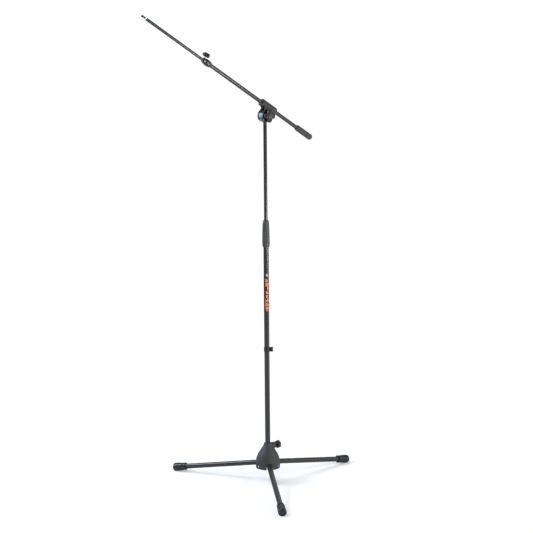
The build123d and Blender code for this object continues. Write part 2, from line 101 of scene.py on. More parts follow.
def leg_place(number):
    """Origin on the leg's hinge pin, Z outwards along the tube, X upwards."""
    hinge = JOINTS[f"leg_{number}_fold"]
    pin, across = Vector(hinge["pos_m"]), Vector(hinge["axis"])
    low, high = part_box(f"leg_{number}_tube")
    along = (low + high) / 2 - pin
    return place(pin, along - along.dot(across) * across, UP)


# ---------------------------------------------------------------- materials

# Cells to the metre of the broad clouds, share by which the gloss strays, and the range of
# pointiness over which an edge goes from untouched to worn.
BROAD_CELLS = 45.0
GLOSS_SPREAD = 0.12
WORN_FROM, WORN_TO = 0.53, 0.62

GLOSS_BLACK = (0.008, 0.0085, 0.01)
CLAMP_FACE_R = 25.4 * MM


def node_kit(name):
    """New material, its node tree and its shader."""
    material = bpy.data.materials.new(name)
    material.use_nodes = True
    tree = material.node_tree
    return material, tree, tree.nodes["Principled BSDF"]


def feed(tree, node, inputs):
    """Gives each input a value, or links another node's socket to it."""
    for key, value in inputs:
        if isinstance(value, bpy.types.NodeSocket):
            tree.links.new(value, node.inputs[key])
        else:
            node.inputs[key].default_value = value


def add(tree, kind, inputs=(), **settings):
    """New node with its settings and inputs."""
    node = tree.nodes.new(kind)
    for key, value in settings.items():
        setattr(node, key, value)
    feed(tree, node, inputs)
    return node


def tone(colour, factor=1.0):
    """Colour with alpha, made lighter or darker by a factor."""
    return tuple(min(1.0, c * factor) for c in colour) + (1.0,)


def noise(tree, where, cells, detail):
    """Cloudy pattern with this many cells to the metre."""
    inputs = [("Vector", where), ("Scale", cells), ("Detail", detail)]
    return add(tree, "ShaderNodeTexNoise", inputs).outputs["Fac"]


def between(tree, share, first, second):
    """Mix of two colours or colour sockets."""
    mix = add(tree, "ShaderNodeMix", [(0, share), (6, first), (7, second)], data_type="RGBA")
    return mix.outputs[2]


def ranged(tree, value, start=(0.0, 1.0), end=(0.0, 1.0), **settings):
    """Value carried over from one range to another, and held at its ends."""
    inputs = [("Value", value), (1, start[0]), (2, start[1]), (3, end[0]), (4, end[1])]
    return add(tree, "ShaderNodeMapRange", inputs, **settings).outputs[0]


def embossed(tree, height, strength, depth, under=()):
    """Normal of a relief; under holds the relief that it lies on."""
    inputs = [("Height", height), ("Strength", strength), ("Distance", depth), *under]
    return add(tree, "ShaderNodeBump", inputs).outputs["Normal"]


def rubbed(tree, shade, broad, wear):
    """Shade with patchy wear on the outer edges."""
    point = add(tree, "ShaderNodeNewGeometry").outputs["Pointiness"]
    edge = ranged(tree, point, (WORN_FROM, WORN_TO))
    patchy = add(tree, "ShaderNodeMath", [(0, edge), (1, broad)], operation="MULTIPLY")
    return between(tree, patchy.outputs[0], shade, tone(wear))


def finish_material(
    name, colour, rough, metallic=0.0, grain=0.0005, relief=0.15, mottle=0.25, wear=None,
    stretch=(1, 1, 1), clear=0.0, fine=0.0, tint=None,
):
    """Procedural finish: two scales of tone, uneven gloss, a grain in relief and worn edges.

    grain and fine are the cell sizes of the two reliefs in metres, mottle is how far the tone
    strays, tint is the colour of its lighter clouds and wear that of rubbed edges.
    """
    material, tree, shader = node_kit(name)
    where = add(tree, "ShaderNodeTexCoord").outputs["Object"]
    where = add(tree, "ShaderNodeMapping", [("Vector", where), ("Scale", stretch)]).outputs["Vector"]
    broad = noise(tree, where, BROAD_CELLS, 4.0)
    close = noise(tree, where, 1.0 / grain, 3.0)
    shade = between(tree, broad, tone(colour, 1 - mottle), tone(tint or colour, 1 + mottle))
    shade = between(tree, close, shade, tone(colour, 1 + 1.5 * mottle))
    if wear:
        shade = rubbed(tree, shade, broad, wear)
    gloss_range = rough * (1 - GLOSS_SPREAD), min(1.0, rough * (1 + GLOSS_SPREAD))
    normal = embossed(tree, close, relief, grain * 0.4)
    if fine:
        pores = add(tree, "ShaderNodeTexVoronoi", [("Vector", where), ("Scale", 1.0 / fine)])
        height = pores.outputs["Distance"]
        normal = embossed(tree, height, relief, fine * 0.3, [("Normal", normal)])
    feed(tree, shader, [
        ("Base Color", shade), ("Roughness", ranged(tree, broad, (0.3, 0.7), gloss_range)),
        ("Normal", normal), ("Metallic", metallic), ("Coat Weight", clear), ("Coat Roughness", 0.15),
    ])
    return material


def polish_disc(material, centre, radius, colour, rough, relief=0.03):
    """Smooth gloss paint wherever a casting lies within radius of an axis along Y."""
    tree = material.node_tree
    shader = tree.nodes["Principled BSDF"]
    bumps = [node for node in tree.nodes if node.bl_idname == "ShaderNodeBump"]
    where = add(tree, "ShaderNodeTexCoord").outputs["Object"]
    offset = add(tree, "ShaderNodeVectorMath", [(0, where), (1, tuple(centre))], operation="SUBTRACT")
    across = [(0, offset.outputs[0]), (1, (1, 0, 1))]
    flat = add(tree, "ShaderNodeVectorMath", across, operation="MULTIPLY")
    away = add(tree, "ShaderNodeVectorMath", [(0, flat.outputs[0])], operation="LENGTH")
    outside = ranged(tree, away.outputs["Value"], (radius, radius + MM))
    base = shader.inputs["Base Color"].links[0].from_socket
    gloss = shader.inputs["Roughness"].links[0].from_socket
    smooth = add(tree, "ShaderNodeMix", [(0, outside), (2, rough), (3, gloss)]).outputs[0]
    paint = between(tree, outside, tone(colour), base)
    feed(tree, shader, [("Base Color", paint), ("Roughness", smooth)])
    for node in bumps:
        full = node.inputs["Strength"].default_value
        feed(tree, node, [("Strength", ranged(tree, outside, end=(relief, full)))])


def ink_with_painted_glow(material, colour, strength):
    """Painted glow: a faint emission that makes an ink look brighter than its paint under the lamps."""
    shader = material.node_tree.nodes["Principled BSDF"]
    feed(material.node_tree, shader, [("Emission Color", tone(colour)), ("Emission Strength", strength)])


FINISHES = {
    "housing_casting": finish_material(
        "cast_powder_coat", (0.032, 0.033, 0.034), 0.5, grain=0.0009, relief=0.6, mottle=0.3,
        wear=(0.1, 0.105, 0.11), fine=0.0024,
    ),
    "black_tube": finish_material(
        "tube_powder_coat", (0.019, 0.019, 0.0185), 0.25, grain=0.0007, relief=0.05, mottle=0.1,
        clear=0.15,
    ),
    "clamp_casting": finish_material(
        "clamp_powder_coat", (0.031, 0.03, 0.027), 0.5, grain=0.0008, relief=0.4, mottle=0.3,
        wear=(0.16, 0.17, 0.18), fine=0.0018,
    ),
    "barrel_casting": finish_material(
        "barrel_gloss_coat", GLOSS_BLACK, 0.12, grain=0.0012, relief=0.03, mottle=0.15, clear=0.8,
    ),
    "black_plastic": finish_material(
        "knob_moulded_plastic", (0.009, 0.009, 0.0095), 0.4, grain=0.0004, relief=0.1, mottle=0.2,
        wear=(0.03, 0.03, 0.03),
    ),
    "grey_plastic": finish_material(
        "grey_moulded_plastic", (0.046, 0.048, 0.05), 0.42, grain=0.0004, relief=0.12, mottle=0.15,
        wear=(0.1, 0.102, 0.106),
    ),
    "pom_plastic": finish_material(
        "guide_plastic", (0.05, 0.05, 0.05), 0.4, grain=0.0005, relief=0.08, mottle=0.1,
    ),
    "rubber_foot": finish_material(
        "foot_rubber", (0.009, 0.0095, 0.0105), 0.27, grain=0.0006, relief=0.28, mottle=0.35,
        fine=0.0022, tint=(0.014, 0.015, 0.0165), wear=(0.035, 0.036, 0.038),
    ),
    "grip_rubber": finish_material(
        "grip_rubber", (0.042, 0.042, 0.0425), 0.62, grain=0.0005, relief=0.3, mottle=0.18, fine=0.0014,
    ),
    "zinc_steel": finish_material(
        "zinc_plated_steel", (0.62, 0.63, 0.64), 0.28, metallic=1.0, grain=0.0006, relief=0.08,
        mottle=0.12,
    ),
    "chrome_ring": finish_material(
        "bright_ring", (0.86, 0.9, 0.93), 0.34, metallic=0.5, grain=0.0008, relief=0.04, mottle=0.08,
    ),
    "dark_steel": finish_material(
        "blackened_steel", (0.22, 0.22, 0.225), 0.36, metallic=1.0, grain=0.0005, relief=0.12,
        mottle=0.3, wear=(0.4, 0.39, 0.37),
    ),
    "label_film": finish_material(
        "label_black_film", GLOSS_BLACK, 0.26, grain=0.0015, relief=0.03, mottle=0.1, clear=0.4,
    ),
    "fibre": finish_material(
        "pressed_fibre", (0.2, 0.15, 0.1), 0.8, grain=0.0004, relief=0.4, mottle=0.35, stretch=(1, 4, 1),
    ),
}
# Orange print ink, which also carries a painted glow, set below.
PRINT_ORANGE_WITH_GLOW = finish_material(
    "label_orange_ink_painted_glow", (0.95, 0.15, 0.025), 0.4, grain=0.0008, relief=0.05, mottle=0.12, clear=0.2,
)
PRINT_WHITE = finish_material(
    "label_white_ink", (0.5, 0.5, 0.49), 0.35, grain=0.0008, relief=0.05, mottle=0.08, clear=0.3,
)
# Painted glow: the orange ink emits a little light of its own, so it looks brighter than lit paint.
ink_with_painted_glow(PRINT_ORANGE_WITH_GLOW, (1.0, 0.22, 0.02), 0.22)
polish_disc(FINISHES["clamp_casting"], JOINTS["boom_tilt"]["pos_m"], CLAMP_FACE_R, GLOSS_BLACK, 0.12)


# ---------------------------------------------------------------- mesh tools


def smooth_by_angle(mesh, degrees=35.0):
    """Smooth shading, with edges sharper than an angle left crisp."""
    mesh.shade_smooth()
    mesh.set_sharp_from_angle(angle=math.radians(degrees))


def consistent_normals(mesh):
    """Turns every face of a closed mesh outwards."""
    work = bmesh.new()
    work.from_mesh(mesh)
    bmesh.ops.recalc_face_normals(work, faces=work.faces)
    work.to_mesh(mesh)
    work.free()


def linked(name, mesh, material):
    """Object of a finished mesh in one material."""
    obj = bpy.data.objects.new(name, mesh)
    bpy.context.scene.collection.objects.link(obj)
    mesh.materials.clear()
    mesh.materials.append(material)
    return obj


def piece(name, mesh, node, slot_name=None):
    """Links a finished mesh as a piece that rides with, and replaces, a CAD node."""
    slot_name = slot_name or SLOT_OF[node]
    obj = linked(name, mesh, FINISHES[slot_name])
    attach(obj, BODY_OF[node])
    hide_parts(node)


def extra(name, mesh, body, material):
    """Links a finished mesh as a small added piece on a body."""
    obj = linked(name, mesh, material)
    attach(obj, body)


def eased(points, radii, steps=5):
    """Outline with each inner corner rounded; radii gives one radius for each inner point.

    A corner takes just under half of its shorter side at most; a nearly straight one stays.
    """
    nearly_straight, most_of_side = math.radians(176), 0.48  # two cuts still fit on one side
    out = [points[0]]
    for i in range(1, len(points) - 1):
        radius = radii[i - 1]
        here = Vector(points[i])
        before, after = Vector(points[i - 1]) - here, Vector(points[i + 1]) - here
        shorter = min(before.length, after.length)
        if radius <= 0 or shorter < TINY or before.angle(after) > nearly_straight:
            out.append(tuple(here))
            continue
        cut = min(radius / math.tan(before.angle(after) / 2), most_of_side * shorter)
        a, b = here + before.normalized() * cut, here + after.normalized() * cut
        for s in range(steps + 1):
            t = s / steps
            out.append(tuple((1 - t) ** 2 * a + 2 * t * (1 - t) * here + t * t * b))
    out.append(points[-1])
    return out


def band(low, high, segments):
    """Faces between two rings of vertex numbers, either of which may be a single point."""
    faces = []
    if len(low) == len(high) == 1:
        return faces
    for s in range(segments):
        t = (s + 1) % segments
        if len(low) == 1:
            faces.append((low[0], high[t], high[s]))
        elif len(high) == 1:
            faces.append((low[s], low[t], high[0]))
        else:
            faces.append((low[s], low[t], high[t], high[s]))
    return faces


def lathe(name, at, outline, segments=96, ripple=None, closed=False):
    """Solid turned about the Z of a place from (radius, height) points in metres.

    An open outline starts and ends on the axis; a closed one is a ring's section.
    ripple(angle, radius, height) returns the radius to use there.
    """
    verts, faces, rings = [], [], []
    for radius, height in outline:
        on_axis = radius < TINY
        rings.append([])
        for s in range(1 if on_axis else segments):
            angle = TAU * s / segments
            r = ripple(angle, radius, height) if ripple else radius
            flat = (0, 0) if on_axis else (r * math.cos(angle), r * math.sin(angle))
            rings[-1].append(len(verts))
            verts.append(at @ Vector((*flat, height)))
    for low, high in zip(rings, rings[1:] + rings[:1] if closed else rings[1:]):
        faces += band(low, high, segments)
    mesh = bpy.data.meshes.new(name)
    mesh.from_pydata(verts, [], faces)
    mesh.validate()
    consistent_normals(mesh)
    smooth_by_angle(mesh)
    return mesh


def cast_copy(node, voxel, passes, slot_name=None):
    """Skin of a casting or moulding: the CAD solid with its edges softened as a mould leaves them."""
    work = bpy.data.objects.new("work", NODES[node].data.copy())
    bpy.context.scene.collection.objects.link(work)
    remesh = work.modifiers.new("skin", "REMESH")
    remesh.mode = "VOXEL"
    remesh.voxel_size = voxel
    ease = work.modifiers.new("ease", "SMOOTH")
    ease.factor = 0.5
    ease.iterations = passes
    depsgraph = bpy.context.evaluated_depsgraph_get()
    mesh = bpy.data.meshes.new_from_object(work.evaluated_get(depsgraph))
    bpy.data.objects.remove(work)
    mesh.shade_smooth()
    piece(f"{node}_skin", mesh, node, slot_name)


# ---------------------------------------------------------------- pieces


def lobes(count, depth, hub, edge, turn=0.0):
    """Ripple of a star knob: scallops that fade out between the hub and the edge."""

    def ripple(angle, radius, height):
        wave = 0.5 - 0.5 * math.cos(count * (angle - turn))
        share = max(0.0, min(1.0, (radius - hub) / (edge - hub)))
        return radius - depth * share * wave ** 1.6

    return ripple


def star_knob(name, node, stud, at, hub_r, hub_length, count, depth, turn=0.0):
    """Moulded star knob, blind on its stud: dished face, round lobes and a hub behind."""
    low, high, edge = span(node, at)
    stud_end, bore = span(stud, at)[1:]
    body_low, dish = low + hub_length, high - 0.8 * MM
    outline = eased(
        [(0, stud_end), (bore, stud_end), (bore, low), (hub_r, low), (hub_r, body_low),
         (edge * 0.86, body_low), (edge, body_low + edge * 0.16), (edge, high - edge * 0.14),
         (edge * 0.82, high), (edge * 0.5, high), (edge * 0.42, dish), (0, dish)],
        [0, 0, 0.4 * MM, 1 * MM, 3 * MM, 3 * MM, 3 * MM, 3 * MM, 1 * MM, 1 * MM],
    )
    mesh = lathe(name, at, outline, 144, lobes(count, depth, hub_r * 1.05, edge, turn))
    piece(name, mesh, node)


def make_tilt_knob():
    """Four-lobed knob with a dished face round its raised grey cap."""
    low, high, edge = span("tilt_knob", TILT)
    cap_low, cap_high, cap_r = span("tilt_knob_cap", TILT)
    bore, hub_r, body_low = BOLT_R + 0.05 * MM, cap_r + 0.5 * MM, high - 14 * MM
    seat, rim = cap_r + 0.06 * MM, cap_r + 1.2 * MM
    outline = eased(
        [(bore, low), (hub_r, low), (hub_r, body_low), (edge * 0.8, body_low),
         (edge, body_low + 4 * MM), (edge, high - 4 * MM), (edge * 0.78, high), (rim, high),
         (seat, high - 0.6 * MM), (seat, cap_low), (bore, cap_low)],
        [0.5 * MM, 1 * MM, 4 * MM, 5 * MM, 4 * MM, 5 * MM, 0.6 * MM, 0.3 * MM, 0],
        steps=7,
    )
    lobe_depth, lobe_from, lobe_turn = 9.5 * MM, cap_r + 1.4 * MM, math.radians(-4.3)
    ripple = lobes(4, lobe_depth, lobe_from, edge, lobe_turn)
    piece("tilt_knob_body", lathe("tilt_knob_body", TILT, outline, 192, ripple, closed=True), "tilt_knob")
    cap = eased(
        [(0, cap_low), (cap_r, cap_low), (cap_r, cap_high - 1.6 * MM), (cap_r * 0.62, cap_high),
         (0, cap_high)],
        [0.3 * MM, 1.6 * MM, 3 * MM],
    )
    piece("tilt_knob_centre", lathe("tilt_knob_centre", TILT, cap), "tilt_knob_cap")


def make_small_knobs():
    """Six-lobed knob of the hub's clamp and five-lobed knob of the boom's lock."""
    star_knob(
        "base_knob_body", "base_clamp_knob", "base_clamp_stud", BASE_CLAMP,
        hub_r=8 * MM, hub_length=6 * MM, count=6, depth=3.2 * MM,
    )
    star_knob(
        "boom_knob_body", "boom_clutch_knob", "boom_clutch_stud", LOCK,
        hub_r=6 * MM, hub_length=2 * MM, count=5, depth=2.8 * MM, turn=math.pi,
    )


def foot_ribs(radius, start):
    """Outline of four fine ribs from the nose towards the mouth, each slimmer than the last."""
    count, pitch, depth, first, taper = 4, 5.4 * MM, 0.5 * MM, 0.25, 0.22
    points = []
    for i in range(count):
        top = start - i * pitch
        crest = radius - (first + taper * i) * MM
        root = crest - depth
        points += [(crest, top), (crest, top - 3.0 * MM), (root, top - 3.6 * MM), (root, top - 4.8 * MM)]
    return points


def make_feet():
    """Rubber caps with a lip, a groove, fine ribs and a round nose, worn flat on the floor."""
    lip_r, groove_r, nose_round = 16.2 * MM, 14.4 * MM, 13 * MM
    for number in LEGS:
        at = leg_place(number)
        low, high, radius = span(f"leg_{number}_foot", at)
        bore = span(f"leg_{number}_tube", at)[2] + 0.02 * MM
        seat = high - 26 * MM
        ribs = foot_ribs(radius, high - 24 * MM)
        outline = [(0, high), (radius, high), (radius, high - 22 * MM)] + ribs
        outline += [
            (15.3 * MM, low + 9.5 * MM), (groove_r, low + 8.2 * MM), (lip_r, low + 7.0 * MM),
            (lip_r, low + 0.8 * MM), (15.2 * MM, low), (bore, low), (bore, seat), (0, seat),
        ]
        radii = [nose_round, 1 * MM] + [0.5 * MM] * len(ribs)
        radii += [r * MM for r in (0.4, 0.5, 0.8, 1, 0.6, 0.5, 0.2)]
        mesh = lathe(f"foot_cap_{number}", at, eased(outline, radii, 8), 112)
        for vertex in mesh.vertices:
            vertex.co.z = max(0.0, vertex.co.z)
        piece(f"foot_cap_{number}", mesh, f"leg_{number}_foot")


def flutes(count, depth, low, high, fade):
    """Ripple of lengthwise flutes that run out at both ends."""

    def ripple(angle, radius, height):
        inside = min(1.0, max(0.0, (height - low) / fade), max(0.0, (high - height) / fade))
        wave = 0.5 - 0.5 * math.cos(count * angle)
        return radius - depth * inside * wave ** 2.5

    return ripple


def outer_only(ripple, radius_from):
    """The same ripple, kept off everything within a radius."""

    def outer(angle, radius, height):
        return ripple(angle, radius, height) if radius > radius_from else radius

    return outer


def dense(outline, step):
    """Outline with points no further apart than step."""
    out = [outline[0]]
    for a, b in zip(outline, outline[1:]):
        count = max(1, math.ceil((Vector(b) - Vector(a)).length / step))
        out += [tuple(Vector(a).lerp(Vector(b), (i + 1) / count)) for i in range(count)]
    return out


def make_height_grip():
    """Ribbed hand sleeve over the collet, swelling low down and rounded over at the top."""
    low, high, radius = span("height_clutch_grip", MAST)
    bore = span("upper_mast_tube", MAST)[2] + 0.5 * MM
    thread = span("clutch_body", MAST)[2] + 0.05 * MM
    thread_top = high - 26 * MM
    outline = [
        (thread, low), (13.8 * MM, low), (15.0 * MM, low + 5 * MM), (radius, low + 17 * MM),
        (radius, low + 33 * MM), (14.7 * MM, low + 64 * MM), (14.2 * MM, high - 22 * MM),
        (13.4 * MM, high - 12 * MM), (12.2 * MM, high - 4 * MM), (11.0 * MM, high), (bore, high),
        (bore, high - 9 * MM), (10.9 * MM, thread_top), (thread, thread_top), (thread, low),
    ]
    radii = [r * MM for r in (0.5, 3, 8, 8, 12, 8, 6, 3, 1.5, 1, 0, 0, 0)]
    ripple = outer_only(flutes(20, 0.9 * MM, low + 8 * MM, high - 16 * MM, 8 * MM), thread + 0.4 * MM)
    outline = dense(eased(outline, radii), MAX_STEP)[:-1]
    mesh = lathe("height_grip_sleeve", MAST, outline, 240, ripple, closed=True)
    piece("height_grip_sleeve", mesh, "height_clutch_grip")


def boom_grip_flutes(low, high, fade):
    """Twelve shallow flutes on the outside of the boom's grip."""
    return outer_only(flutes(12, 0.8 * MM, low, high, fade), 11 * MM)


def make_boom_grip():
    """Fluted rubber sleeve on the boom's rear end, with a sloping shoulder in front."""
    low, high, radius = span("boom_grip", BOOM)
    outline = [
        (BOOM_TUBE_R, low), (radius - 0.5 * MM, low), (radius, low + 0.8 * MM), (radius, high - 8 * MM),
        (11.3 * MM, high - 2.5 * MM), (9.9 * MM, high), (BOOM_TUBE_R, high), (BOOM_TUBE_R, low),
    ]
    radii = [r * MM for r in (0.3, 0.5, 4, 2, 0.6, 0.3)]
    outline = dense(eased(outline, radii), MAX_STEP)[:-1]
    ripple = boom_grip_flutes(low + 4 * MM, high - 10 * MM, 5 * MM)
    mesh = lathe("boom_grip_sleeve", BOOM, outline, 192, ripple, closed=True)
    piece("boom_grip_sleeve", mesh, "boom_grip")


def make_boom_grip_end():
    """Closed, rounded end of the boom's grip, seated on the tube's end."""
    low, high, radius = span("boom_grip_cap", BOOM)
    seat = low + 30 * MM
    outline = [
        (0, low), (7 * MM, low), (radius, low + 5 * MM), (radius, high - 0.8 * MM),
        (radius - 0.5 * MM, high), (BOOM_TUBE_R, high), (BOOM_TUBE_R, seat), (0, seat),
    ]
    radii = [r * MM for r in (3, 7, 0.5, 0.4, 0.3, 0)]
    ripple = boom_grip_flutes(low + 10 * MM, high - 3 * MM, 4 * MM)
    mesh = lathe("boom_grip_end", BOOM, dense(eased(outline, radii, 7), MAX_STEP), 192, ripple)
    piece("boom_grip_end", mesh, "boom_grip_cap")


def thread_ripple(major, pitch, start):
    """Ripple of a right-hand thread above start, with flat crests and a run-out of one turn."""
    depth, flank, crest = 0.6134 * pitch, 2.3, 0.12

    def ripple(angle, radius, height):
        if height < start or radius < major * 0.9:
            return radius
        phase = (height / pitch - angle / TAU) % 1.0
        ridge = min(1.0, max(0.0, flank * abs(phase - 0.5) - crest))
        ends = min(1.0, (height - start) / pitch)
        return radius - depth * ridge * ends

    return ripple


def make_tip():
    """Stud with a real 3/8 inch thread of 16 turns to the inch."""
    mount = next(m for m in RECORD["mounts"] if m["name"] == "boom_tip_thread")
    major = mount["dims"]["r_mm"] * MM
    pitch = 25.4 * MM / 16
    low, high, shoulder = span("boom_tip_stud", BOOM)
    ring_low, ring_high, _ = span("boom_tip_ring", BOOM)
    chamfer, spigot_r, rings_to_a_turn = 0.8 * MM, 5.0 * MM, 10
    outline = [(0, low), (spigot_r, low), (spigot_r, ring_low - 2 * MM), (shoulder, ring_low - 2 * MM)]
    outline += [(shoulder, ring_low), (TIP_NECK_R, ring_low), (TIP_NECK_R, ring_high)]
    length = high - chamfer - ring_high
    steps = round(length / (pitch / rings_to_a_turn))
    outline += [(major, ring_high + length * i / steps) for i in range(steps + 1)]
    outline += [(major * 0.82, high), (0, high)]
    mesh = lathe("tip_thread", BOOM, outline, 72, thread_ripple(major, pitch, ring_high))
    piece("tip_thread", mesh, "boom_tip_stud")


def make_tip_ring():
    """Finely knurled bright ring behind the thread."""
    low, high, radius = span("boom_tip_ring", BOOM)
    teeth, tooth, chamfer = 48, 0.25 * MM, 0.6 * MM
    section = eased(
        [(TIP_NECK_R, low), (radius - chamfer, low), (radius, low + chamfer),
         (radius, high - chamfer), (radius - chamfer, high), (TIP_NECK_R, high)],
        [0.3 * MM] * 4,
    )

    def knurl(angle, radius, height):
        return radius - tooth * (0.5 - 0.5 * math.cos(teeth * angle))

    ripple = outer_only(knurl, radius - 0.1 * MM)
    piece("tip_ring", lathe("tip_ring", BOOM, section, 288, ripple, closed=True), "boom_tip_ring")


def make_lock_ring():
    """Dark turned ring in front of the collar."""
    low, high, _ = span("boom_clutch_ring", BOOM)
    bore = span("inner_boom_tube", BOOM)[2] + 0.06 * MM
    section = eased(
        [(bore, low), (LOCK_RING_R - 0.6 * MM, low), (LOCK_RING_R, low + 0.8 * MM),
         (LOCK_RING_R, high - 1.4 * MM), (LOCK_RING_R - 1.6 * MM, high), (bore, high)],
        [0.4 * MM, 0.6 * MM, 1.2 * MM, 1.2 * MM],
    )
    mesh = lathe("lock_ring", BOOM, section, 128, closed=True)
    piece("lock_ring", mesh, "boom_clutch_ring", "barrel_casting")


def make_lock_boss():
    """Bright boss on the ring that the lock screw goes through."""
    top = span("boom_clutch_ring", LOCK)[1]
    boss_r, screw_r = 5.8 * MM, span("boom_clutch_stud", LOCK)[2] + 0.05 * MM
    inside = math.sqrt(LOCK_RING_R ** 2 - boss_r ** 2) - 0.4 * MM
    section = eased(
        [(screw_r, inside), (boss_r, inside), (boss_r, top - 0.8 * MM), (boss_r - 0.8 * MM, top),
         (screw_r, top)],
        [0, 0.8 * MM, 0.6 * MM],
    )
    piece("lock_boss", lathe("lock_boss", LOCK, section, 72, closed=True), "boom_clutch_ring")


def film_patch(name, radius, start, end, low, high, thickness=0.05 * MM):
    """Thin curved patch on the mast, from one angle and height to another."""
    columns = max(2, math.ceil((end - start) / math.radians(4)))
    verts, faces = [], []
    for r in (radius, radius + thickness):
        for height in (low, high):
            for i in range(columns + 1):
                angle = start + (end - start) * i / columns
                verts.append((r * math.cos(angle), r * math.sin(angle), height))
    row = columns + 1
    for i in range(columns):
        a, b, c, d = i, i + row, i + 2 * row, i + 3 * row
        faces += [(a, a + 1, b + 1, b), (c, d, d + 1, c + 1), (a, c, c + 1, a + 1), (b, b + 1, d + 1, d)]
    faces += [(0, row, 3 * row, 2 * row), (columns, columns + 2 * row, columns + 3 * row, columns + row)]
    mesh = bpy.data.meshes.new(name)
    mesh.from_pydata(verts, [], faces)
    consistent_normals(mesh)
    return mesh


def joined(name, meshes):
    """One mesh out of several separate closed ones."""
    verts, faces = [], []
    for mesh in meshes:
        start = len(verts)
        verts += [v.co.copy() for v in mesh.vertices]
        faces += [[start + i for i in p.vertices] for p in mesh.polygons]
        bpy.data.meshes.remove(mesh)
    out = bpy.data.meshes.new(name)
    out.from_pydata(verts, [], faces)
    smooth_by_angle(out, 40)
    return out


# Middle of the print round the mast, and how far it reaches to either side.
PRINT_FACING = math.radians(-110)
PRINT_HALF = math.radians(27)


def print_patches(name, boxes):
    """Patches on the label film, one for each box of (left, right, bottom, top).

    Left and right are shares of the print's half width, bottom and top of the film's height.
    """
    low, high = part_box("tube_label")
    tall = high.z - low.z
    patches = []
    for i, (left, right, bottom, top) in enumerate(boxes):
        start, end = PRINT_FACING + PRINT_HALF * left, PRINT_FACING + PRINT_HALF * right
        base, crown = low.z + bottom * tall, low.z + top * tall
        patches.append(film_patch(f"{name}_{i}", high.x, start, end, base, crown))
    return joined(name, patches)


def label_blocks():
    """Eight rows of plain blocks in a few widths, and a stepped block above them."""
    bottom, top, rows = 0.06, 0.87, 8
    pitch = (top - bottom) / rows
    blocks = []
    for i in range(rows):
        base = bottom + i * pitch
        full = base + pitch * (0.5 if i % 3 else 0.76)
        blocks.append((-1.0 if i != 5 else -0.1, 1.0 if i % 4 != 3 else 0.3, base, full))
        if i % 3 == 1:
            blocks.append((-1.0, 0.0, full, base + 0.8 * pitch))
        if i % 3 == 2:
            blocks.append((0.0, 1.0, full, base + 0.9 * pitch))
    return blocks + [(-0.1, 0.9, 0.91, 0.95), (0.2, 0.9, 0.95, 0.975)]


def label_rules():
    """A rule below the blocks, a panel above them, and ticks beside them in two runs."""
    tick_left, tick_right, pitch = -1.7, -1.15, 0.04
    rules = [(-1.1, 1.1, 0.024, 0.036), (-0.9, -0.25, 0.915, 0.985)]
    for count, start, thick in ((7, 0.08, 0.018), (5, 0.66, 0.015)):
        for i in range(count):
            base = start + pitch * i
            rules.append((tick_left, tick_right, base, base + thick))
    return rules


def make_label_print():
    """Plain printed blocks, rules and ticks on the label film, with no lettering."""
    orange = print_patches("label_orange_blocks", label_blocks())
    extra("label_orange_blocks", orange, "lower_mast", PRINT_ORANGE_WITH_GLOW)
    white = print_patches("label_white_rules", label_rules())
    extra("label_white_rules", white, "lower_mast", PRINT_WHITE)


def make_castings():
    """Skins of the castings and of the clip: voxel size in millimetres, its size in a draft,
    smoothing passes, and the slot of the finish where it isn't the node's own."""
    for node, voxel, draft, passes, slot_name in (
        ("base_housing", 0.8, 1.6, 6, None),
        ("boom_clamp", 0.6, 1.2, 5, None),
        ("head_knuckle", 0.6, 1.2, 4, None),
        ("boom_clutch_collar", 0.45, 0.9, 5, "black_tube"),
        ("cable_clip", 0.4, 0.9, 3, None),
    ):
        cast_copy(node, voxel * MM, passes, slot_name)


def paint_cad():
    """Every CAD node that still shows takes its slot's finish and keeps its own mesh."""
    for name, obj in NODES.items():
        obj.data.materials.clear()
        obj.data.materials.append(FINISHES[SLOT_OF[name]])
        smooth_by_angle(obj.data, 30)


# ---------------------------------------------------------------- stage, light and camera

# Strength of the plain white, of the floor's own light, and of the dome; the floor turns white
# between two distances from the stand's axis.
PAGE_WHITE = 1.05
FLOOR_LIFT = 0.275
FLOOR_HALF = 14.0
FADE_FROM, FADE_TO = 0.5, 1.1
DOME_COLOUR, DOME_STRENGTH = (0.93, 0.96, 1.0), 0.22


def camera_sees(tree, seen, otherwise):
    """Shader that shows one thing to the camera and another to everything else."""
    path = add(tree, "ShaderNodeLightPath")
    inputs = [(0, path.outputs["Is Camera Ray"]), (1, otherwise), (2, seen)]
    return add(tree, "ShaderNodeMixShader", inputs).outputs[0]


def floor_material():
    """Matt pale floor, lifted a little, that turns plain white with distance from the stand."""
    material, tree, shader = node_kit("studio_floor")
    where = add(tree, "ShaderNodeTexCoord").outputs["Object"]
    soft = ranged(tree, noise(tree, where, 3.0, 3.0), end=(0.78, 0.82))
    feed(tree, shader, [("Base Color", soft), ("Roughness", 0.9), ("Specular IOR Level", 0.1)])
    lift = add(tree, "ShaderNodeEmission", [("Color", (1, 1, 1, 1)), ("Strength", FLOOR_LIFT)])
    lit = add(tree, "ShaderNodeAddShader", [(0, shader.outputs[0]), (1, lift.outputs[0])])
    white = add(tree, "ShaderNodeEmission", [("Color", (1, 1, 1, 1)), ("Strength", PAGE_WHITE)])
    away = add(tree, "ShaderNodeVectorMath", [(0, where)], operation="LENGTH").outputs["Value"]
    fade = ranged(tree, away, (FADE_FROM, FADE_TO), interpolation_type="SMOOTHSTEP")
    faded = add(tree, "ShaderNodeMixShader", [(0, fade), (1, lit.outputs[0]), (2, white.outputs[0])])
    seen = camera_sees(tree, faded.outputs[0], shader.outputs[0])
    feed(tree, tree.nodes["Material Output"], [("Surface", seen)])
    return material


def make_stage():
    """Pale floor with faint shadows that runs out into plain white away from the stand."""
    corners = [(x * FLOOR_HALF, y * FLOOR_HALF, 0) for x, y in ((-1, -1), (1, -1), (1, 1), (-1, 1))]
    mesh = bpy.data.meshes.new("floor")
    mesh.from_pydata(corners, [], [(0, 1, 2, 3)])
    floor = linked("floor", mesh, floor_material())


